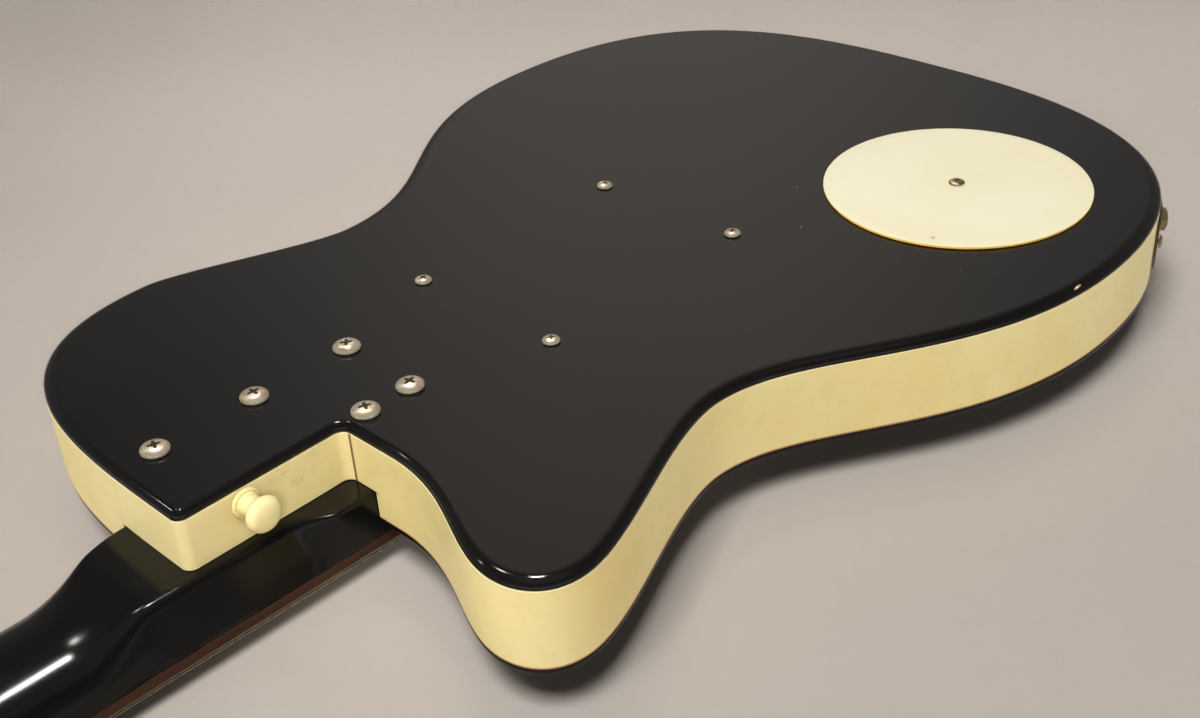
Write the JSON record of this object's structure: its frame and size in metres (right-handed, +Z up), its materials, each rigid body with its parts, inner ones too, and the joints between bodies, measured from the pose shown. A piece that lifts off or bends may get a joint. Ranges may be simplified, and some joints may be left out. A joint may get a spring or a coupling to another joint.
{
  "type": "electric guitar",
  "caption": "Thin semi-hollow electric guitar with a cutaway, bolt-on neck, round rear cover and tuners on both sides of the head, lying on its front.",
  "frame": {"origin": "bottom centre of the guitar's box: on the surface it lies on, half way along and half way across", "axes": "+X along the strings from the headstock to the tail, +Y towards the bass side, +Z up out of the body's back"},
  "size_m": [0.9894, 0.337, 0.0607],
  "materials": {
    "gloss_black": "black gloss paint over laminated wood, polished",
    "cream_binding": "aged cream plastic band, satin",
    "cream_plastic": "cream plastic, satin",
    "frame_wood": "bare pale wood, unseen inside the body",
    "rosewood": "dark brown open-grained wood, oiled",
    "nickel": "worn nickel plating",
    "chrome": "polished chrome plating",
    "steel": "plain zinc-plated steel",
    "string_metal": "nickel-wound steel wire",
    "nut_metal": "satin aluminium",
    "coil_wire": "enamelled copper wire, taken as one block",
    "knob_plastic": "black moulded plastic",
    "white_plastic": "single-layer off-white plastic"
  },
  "bodies": {
    "body": {"back_panel": "gloss_black", "bridge_plate": "nickel", "bridge_saddle": "rosewood", "bridge_screw_1": "nickel", "bridge_screw_2": "nickel", "control_cover": "cream_plastic", "control_cover_screw": "nickel", "edge_tape": "cream_binding", "fingerboard": "rosewood", "jack_nut": "nickel", "jack_plate": "nickel", "jack_plate_screw_1": "nickel", "jack_plate_screw_2": "nickel", "jack_socket": "nickel", "neck": "gloss_black", "neck_screw_1": "nickel", "neck_screw_2": "nickel", "neck_screw_3": "nickel", "neck_screw_4": "nickel", "neck_screw_5": "nickel", "nut": "nut_metal", "pickguard": "white_plastic", "pickup_bridge_coil": "coil_wire", "pickup_bridge_cover": "chrome", "pickup_neck_coil": "coil_wire", "pickup_neck_cover": "chrome", "pickup_screw_1": "nickel", "pickup_screw_2": "nickel", "pickup_screw_3": "nickel", "pickup_screw_4": "nickel", "pot_1": "steel", "pot_2": "steel", "rim_frame": "frame_wood", "selector_switch": "steel", "strap_button_step": "cream_plastic", "strap_button_tail": "cream_plastic", "string_1": "string_metal", "string_2": "string_metal", "string_3": "string_metal", "string_4": "string_metal", "string_5": "string_metal", "string_6": "string_metal", "top_panel": "gloss_black", "tuner_plate_bass": "nickel", "tuner_plate_treble": "nickel"},
    "tuner_key_1": {"tuner_key_1": "nickel"},
    "tuner_post_1": {"tuner_post_1": "nickel"},
    "tuner_key_2": {"tuner_key_2": "nickel"},
    "tuner_post_2": {"tuner_post_2": "nickel"},
    "tuner_key_3": {"tuner_key_3": "nickel"},
    "tuner_post_3": {"tuner_post_3": "nickel"},
    "tuner_key_4": {"tuner_key_4": "nickel"},
    "tuner_post_4": {"tuner_post_4": "nickel"},
    "tuner_key_5": {"tuner_key_5": "nickel"},
    "tuner_post_5": {"tuner_post_5": "nickel"},
    "tuner_key_6": {"tuner_key_6": "nickel"},
    "tuner_post_6": {"tuner_post_6": "nickel"},
    "knob_1": {"knob_1": "knob_plastic"},
    "knob_2": {"knob_2": "knob_plastic"},
    "selector_lever": {"selector_lever": "nickel"}
  },
  "joints": [
    {"name": "tuner_key_1_turn", "type": "hinge", "parent": "body", "child": "tuner_key_1", "pos_m": [-0.35425, -0.02, 0.0327], "axis": [0, 1, 0], "continuous": true},
    {"name": "tuner_post_1_turn", "type": "hinge", "parent": "body", "child": "tuner_post_1", "pos_m": [-0.36275, -0.02, 0.0327], "axis": [0, 0, 1], "continuous": true},
    {"name": "tuner_key_2_turn", "type": "hinge", "parent": "body", "child": "tuner_key_2", "pos_m": [-0.38925, -0.02, 0.0327], "axis": [0, 1, 0], "continuous": true},
    {"name": "tuner_post_2_turn", "type": "hinge", "parent": "body", "child": "tuner_post_2", "pos_m": [-0.39775, -0.02, 0.0327], "axis": [0, 0, 1], "continuous": true},
    {"name": "tuner_key_3_turn", "type": "hinge", "parent": "body", "child": "tuner_key_3", "pos_m": [-0.42425, -0.02, 0.0327], "axis": [0, 1, 0], "continuous": true},
    {"name": "tuner_post_3_turn", "type": "hinge", "parent": "body", "child": "tuner_post_3", "pos_m": [-0.43275, -0.02, 0.0327], "axis": [0, 0, 1], "continuous": true},
    {"name": "tuner_key_4_turn", "type": "hinge", "parent": "body", "child": "tuner_key_4", "pos_m": [-0.42425, 0.02, 0.0327], "axis": [0, 1, 0], "continuous": true},
    {"name": "tuner_post_4_turn", "type": "hinge", "parent": "body", "child": "tuner_post_4", "pos_m": [-0.43275, 0.02, 0.0327], "axis": [0, 0, 1], "continuous": true},
    {"name": "tuner_key_5_turn", "type": "hinge", "parent": "body", "child": "tuner_key_5", "pos_m": [-0.38925, 0.02, 0.0327], "axis": [0, 1, 0], "continuous": true},
    {"name": "tuner_post_5_turn", "type": "hinge", "parent": "body", "child": "tuner_post_5", "pos_m": [-0.39775, 0.02, 0.0327], "axis": [0, 0, 1], "continuous": true},
    {"name": "tuner_key_6_turn", "type": "hinge", "parent": "body", "child": "tuner_key_6", "pos_m": [-0.35425, 0.02, 0.0327], "axis": [0, 1, 0], "continuous": true},
    {"name": "tuner_post_6_turn", "type": "hinge", "parent": "body", "child": "tuner_post_6", "pos_m": [-0.36275, 0.02, 0.0327], "axis": [0, 0, 1], "continuous": true},
    {"name": "knob_1_turn", "type": "hinge", "parent": "body", "child": "knob_1", "pos_m": [0.35725, -0.108, 0.0182], "axis": [0, 0, 1], "range_deg": [-140, 140]},
    {"name": "knob_2_turn", "type": "hinge", "parent": "body", "child": "knob_2", "pos_m": [0.40225, -0.084, 0.0182], "axis": [0, 0, 1], "range_deg": [-140, 140]},
    {"name": "selector_lever_tilt", "type": "hinge", "parent": "body", "child": "selector_lever", "pos_m": [0.33125, -0.076, 0.01685], "axis": [0, 1, 0], "range_deg": [-12, 12]}
  ],
  "couplings": [
    {"joint": "tuner_post_1_turn", "follows": "tuner_key_1_turn", "ratio": -0.083333},
    {"joint": "tuner_post_2_turn", "follows": "tuner_key_2_turn", "ratio": -0.083333},
    {"joint": "tuner_post_3_turn", "follows": "tuner_key_3_turn", "ratio": -0.083333},
    {"joint": "tuner_post_4_turn", "follows": "tuner_key_4_turn", "ratio": -0.083333},
    {"joint": "tuner_post_5_turn", "follows": "tuner_key_5_turn", "ratio": -0.083333},
    {"joint": "tuner_post_6_turn", "follows": "tuner_key_6_turn", "ratio": -0.083333}
  ]
}
